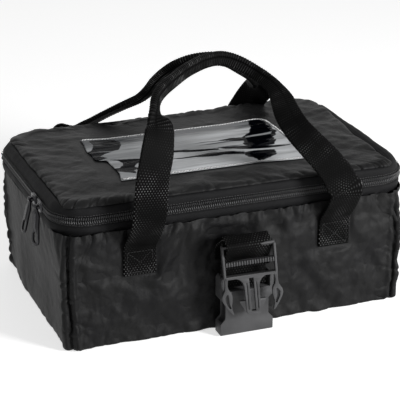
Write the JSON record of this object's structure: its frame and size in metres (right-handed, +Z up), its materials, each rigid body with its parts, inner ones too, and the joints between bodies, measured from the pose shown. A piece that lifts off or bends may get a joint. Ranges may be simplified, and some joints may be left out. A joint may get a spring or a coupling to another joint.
{
  "type": "insulated food bag",
  "caption": "Soft insulated lunch bag with a zipped hinged lid, foil lining, carry handles, clear document window on top and a side-release buckle in front.",
  "frame": {"origin": "middle of the base panel's underside, on the surface the bag stands on", "axes": "+Z up, the front with the buckle towards -Y, the zip sliders on the -X side, +X along the bag's width"},
  "size_m": [0.306, 0.2395, 0.2033],
  "materials": {
    "nylon": "black coated nylon with a soft satin sheen",
    "webbing": "black woven polypropylene webbing, matt",
    "foam": "closed-cell polyethylene foam board, matt white",
    "lining": "metallised film lining, silvery with a soft gloss",
    "tape": "black woven zip tape, matt",
    "coil": "black nylon coil, semi-matt",
    "slider": "black painted cast metal, glossy",
    "window": "clear soft vinyl sheet, glossy",
    "hem": "pale zigzag stitching",
    "buckle": "dark grey moulded acetal, satin"
  },
  "bodies": {
    "bag": {"front_panel": "nylon", "back_panel": "nylon", "left_panel": "nylon", "right_panel": "nylon", "base_panel": "nylon", "foam_base": "foam", "foam_front": "foam", "foam_back": "foam", "foam_left": "foam", "foam_right": "foam", "liner_tub": "lining", "zip_tape_lower": "tape", "zip_coil_lower": "coil", "hinge_gusset_lower": "nylon", "zip_stop_left": "slider", "zip_stop_right": "slider", "handle_end_front_left": "webbing", "handle_end_front_right": "webbing", "handle_end_back_left": "webbing", "handle_end_back_right": "webbing", "buckle_anchor": "webbing"},
    "lid": {"lid_panel": "nylon", "lid_foam": "foam", "lid_lining": "lining", "zip_tape_upper": "tape", "zip_coil_upper": "coil", "hinge_gusset_upper": "nylon", "document_window": "window", "window_hem": "hem"},
    "front_handle_base": {"front_leg_left": "webbing", "front_leg_right": "webbing"},
    "front_handle": {"front_handle_loop": "webbing"},
    "back_handle_base": {"back_leg_left": "webbing", "back_leg_right": "webbing"},
    "back_handle": {"back_handle_loop": "webbing"},
    "rear_slider": {"slider_rear": "slider"},
    "front_slider": {"slider_front": "slider"},
    "rear_pull": {"pull_rear": "slider"},
    "front_pull": {"pull_front": "slider"},
    "female_half": {"female_buckle": "buckle", "female_strap": "webbing"},
    "male_half": {"male_buckle": "buckle", "male_strap": "webbing"}
  },
  "joints": [
    {"name": "lid_hinge", "type": "hinge", "parent": "bag", "child": "lid", "pos_m": [0, 0.0925, 0.1096], "axis": [-1, 0, 0], "range_deg": [0, 100]},
    {"name": "front_handle_root", "type": "hinge", "parent": "bag", "child": "front_handle_base", "pos_m": [0, -0.0948, 0.07945], "axis": [1, 0, 0], "range_deg": [0, 85]},
    {"name": "front_handle_fold", "type": "hinge", "parent": "front_handle_base", "child": "front_handle", "pos_m": [0, -0.1145, 0.11185], "axis": [1, 0, 0], "range_deg": [0, 72]},
    {"name": "back_handle_root", "type": "hinge", "parent": "bag", "child": "back_handle_base", "pos_m": [0, 0.0948, 0.07945], "axis": [-1, 0, 0], "range_deg": [0, 85]},
    {"name": "back_handle_fold", "type": "hinge", "parent": "back_handle_base", "child": "back_handle", "pos_m": [0, 0.1145, 0.10385], "axis": [-1, 0, 0], "range_deg": [0, 72]},
    {"name": "rear_slider_travel", "type": "slide", "parent": "bag", "child": "rear_slider", "axis": [0, 1, 0], "range_m": [0, 0.089]},
    {"name": "front_slider_travel", "type": "slide", "parent": "bag", "child": "front_slider", "axis": [0, -1, 0], "range_m": [0, 0.007]},
    {"name": "rear_pull_swing", "type": "hinge", "parent": "rear_slider", "child": "rear_pull", "pos_m": [-0.15335, -0.0335, 0.1075], "axis": [0, 1, 0], "range_deg": [0, 150]},
    {"name": "front_pull_swing", "type": "hinge", "parent": "front_slider", "child": "front_pull", "pos_m": [-0.15335, -0.0505, 0.1075], "axis": [0, 1, 0], "range_deg": [0, 150]},
    {"name": "female_half_swing", "type": "hinge", "parent": "bag", "child": "female_half", "pos_m": [-0.003, -0.1075, 0.082], "axis": [-1, 0, 0], "range_deg": [0, 70]},
    {"name": "male_half_swing", "type": "hinge", "parent": "female_half", "child": "male_half", "pos_m": [-0.003, -0.1075, 0.082], "axis": [-1, 0, 0], "range_deg": [0, 70]}
  ],
  "couplings": [
    {"joint": "front_handle_root", "follows": "lid_hinge", "ratio": 0.85},
    {"joint": "back_handle_root", "follows": "lid_hinge", "ratio": 0.85}
  ]
}
